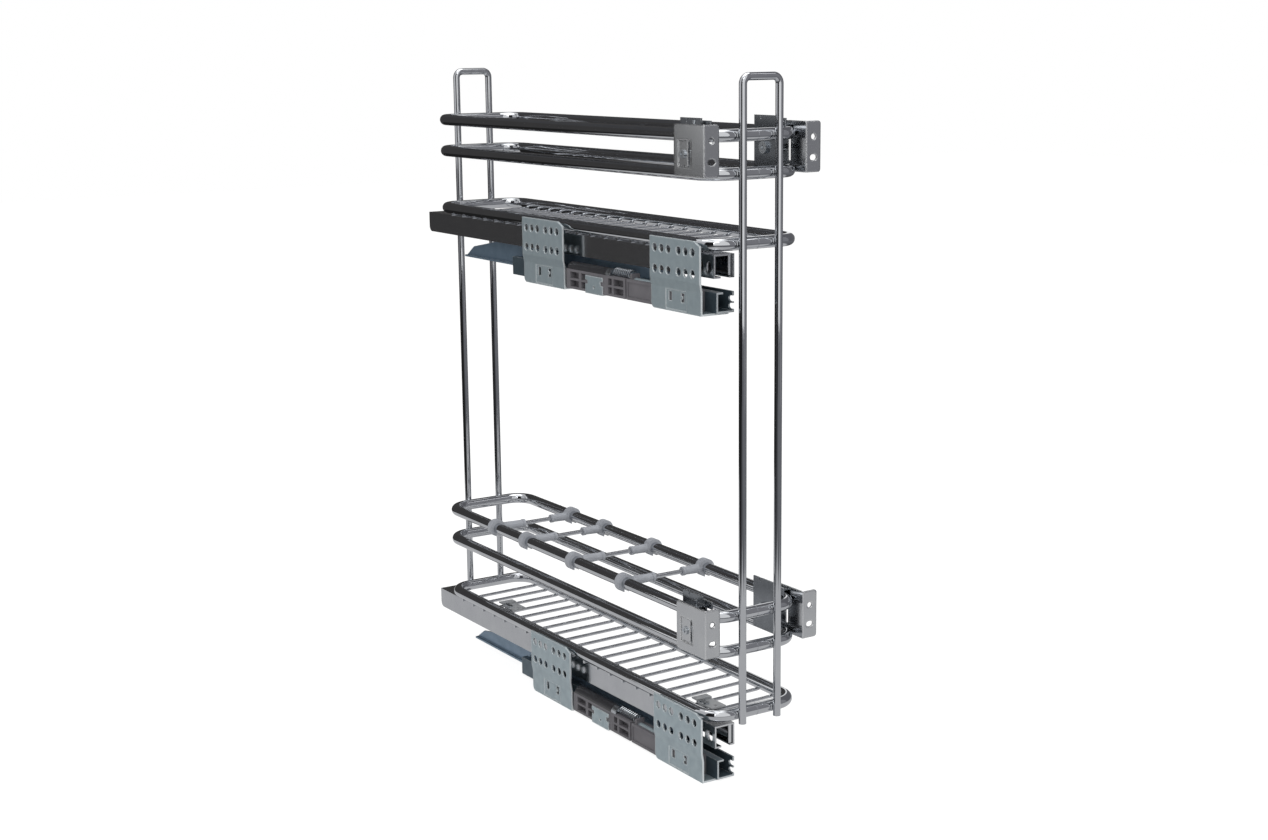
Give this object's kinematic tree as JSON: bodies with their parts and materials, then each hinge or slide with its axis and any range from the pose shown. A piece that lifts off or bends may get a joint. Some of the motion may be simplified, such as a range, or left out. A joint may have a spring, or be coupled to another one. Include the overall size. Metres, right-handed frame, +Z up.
{
  "type": "pull out larder unit",
  "caption": "Narrow pull out larder unit with two chrome wire baskets on upright loops, side runners with soft close, sliding dividers and adjustable door brackets.",
  "frame": {"origin": "middle of the lower front bracket's screw pattern, on the face that lies on the cabinet's side", "axes": "+X away from the cabinet's side, +Y into the cabinet, +Z up; the baskets pull out along -Y"},
  "size_m": [0.1068, 0.4698, 0.5399],
  "materials": {
    "chrome_rail": "bright chrome plated tube",
    "chrome_rod": "bright chrome plated rod",
    "chrome_wire": "bright chrome plated wire",
    "chrome_channel": "bright chrome plated sheet",
    "clip_plastic": "satin light grey moulding",
    "screw_zinc": "bright zinc plated",
    "door_plate_zinc": "bright zinc plated sheet",
    "clamp_zinc": "zinc plated sheet",
    "middle_rail_zinc": "blue grey zinc plated",
    "glide_plastic": "plain white moulding",
    "fixed_rail_zinc": "blue grey zinc plated",
    "bracket_zinc": "light blue grey zinc plated",
    "housing_plastic": "fine grained dark grey moulding",
    "cover_plastic": "satin dark moulding",
    "clip_zinc": "light blue grey zinc plated",
    "cylinder_zinc": "zinc plated tube",
    "seat_steel": "bright steel",
    "spring_steel": "bright spring wire",
    "divider_rod_steel": "bright rod"
  },
  "bodies": {
    "runners": {"upper_front_bracket": "bracket_zinc", "upper_rear_bracket": "bracket_zinc", "upper_fixed_rail": "fixed_rail_zinc", "upper_damper_housing": "housing_plastic", "upper_damper_cover": "cover_plastic", "upper_clip_plate": "clip_zinc", "upper_damper_cylinder": "cylinder_zinc", "upper_spring_seat": "seat_steel", "upper_damper_spring": "spring_steel", "lower_front_bracket": "bracket_zinc", "lower_rear_bracket": "bracket_zinc", "lower_fixed_rail": "fixed_rail_zinc", "lower_damper_housing": "housing_plastic", "lower_damper_cover": "cover_plastic", "lower_clip_plate": "clip_zinc", "lower_damper_cylinder": "cylinder_zinc", "lower_spring_seat": "seat_steel", "lower_damper_spring": "spring_steel"},
    "upper_middle": {"upper_middle_rail": "middle_rail_zinc", "upper_glides": "glide_plastic"},
    "lower_middle": {"lower_middle_rail": "middle_rail_zinc", "lower_glides": "glide_plastic"},
    "basket_frame": {"front_loop": "chrome_rod", "rear_loop": "chrome_rod", "upper_top_hoop": "chrome_rail", "upper_mid_hoop": "chrome_rail", "upper_floor_hoop": "chrome_rail", "lower_top_hoop": "chrome_rail", "lower_mid_hoop": "chrome_rail", "lower_floor_hoop": "chrome_rail", "upper_floor_wires": "chrome_wire", "upper_carrier": "chrome_channel", "upper_floor_clips": "clip_plastic", "upper_left_door_plate": "door_plate_zinc", "upper_right_door_plate": "door_plate_zinc", "upper_left_clamp": "clamp_zinc", "upper_right_clamp": "clamp_zinc", "lower_floor_wires": "chrome_wire", "lower_carrier": "chrome_channel", "lower_floor_clips": "clip_plastic", "lower_left_door_plate": "door_plate_zinc", "lower_right_door_plate": "door_plate_zinc", "lower_left_clamp": "clamp_zinc", "lower_right_clamp": "clamp_zinc", "floor_clip_screws": "screw_zinc", "door_bracket_screws": "screw_zinc"},
    "divider_1": {"divider_1_rod": "divider_rod_steel", "divider_1_clips": "clip_plastic"},
    "divider_2": {"divider_2_rod": "divider_rod_steel", "divider_2_clips": "clip_plastic"},
    "divider_3": {"divider_3_rod": "divider_rod_steel", "divider_3_clips": "clip_plastic"},
    "divider_4": {"divider_4_rod": "divider_rod_steel", "divider_4_clips": "clip_plastic"}
  },
  "joints": [
    {"name": "basket_slide", "type": "slide", "parent": "runners", "child": "basket_frame", "axis": [0, -1, 0], "range_m": [0, 0.44]},
    {"name": "upper_middle_slide", "type": "slide", "parent": "runners", "child": "upper_middle", "axis": [0, -1, 0], "range_m": [0, 0.22]},
    {"name": "lower_middle_slide", "type": "slide", "parent": "runners", "child": "lower_middle", "axis": [0, -1, 0], "range_m": [0, 0.22]},
    {"name": "divider_1_slide", "type": "slide", "parent": "basket_frame", "child": "divider_1", "axis": [0, 1, 0], "range_m": [-0.024, 0.065]},
    {"name": "divider_2_slide", "type": "slide", "parent": "basket_frame", "child": "divider_2", "axis": [0, 1, 0], "range_m": [-0.036, 0.024]},
    {"name": "divider_3_slide", "type": "slide", "parent": "basket_frame", "child": "divider_3", "axis": [0, 1, 0], "range_m": [-0.035, 0.036]},
    {"name": "divider_4_slide", "type": "slide", "parent": "basket_frame", "child": "divider_4", "axis": [0, 1, 0], "range_m": [-0.065, 0.035]}
  ],
  "couplings": [
    {"joint": "upper_middle_slide", "follows": "basket_slide", "ratio": 0.5},
    {"joint": "lower_middle_slide", "follows": "basket_slide", "ratio": 0.5}
  ]
}
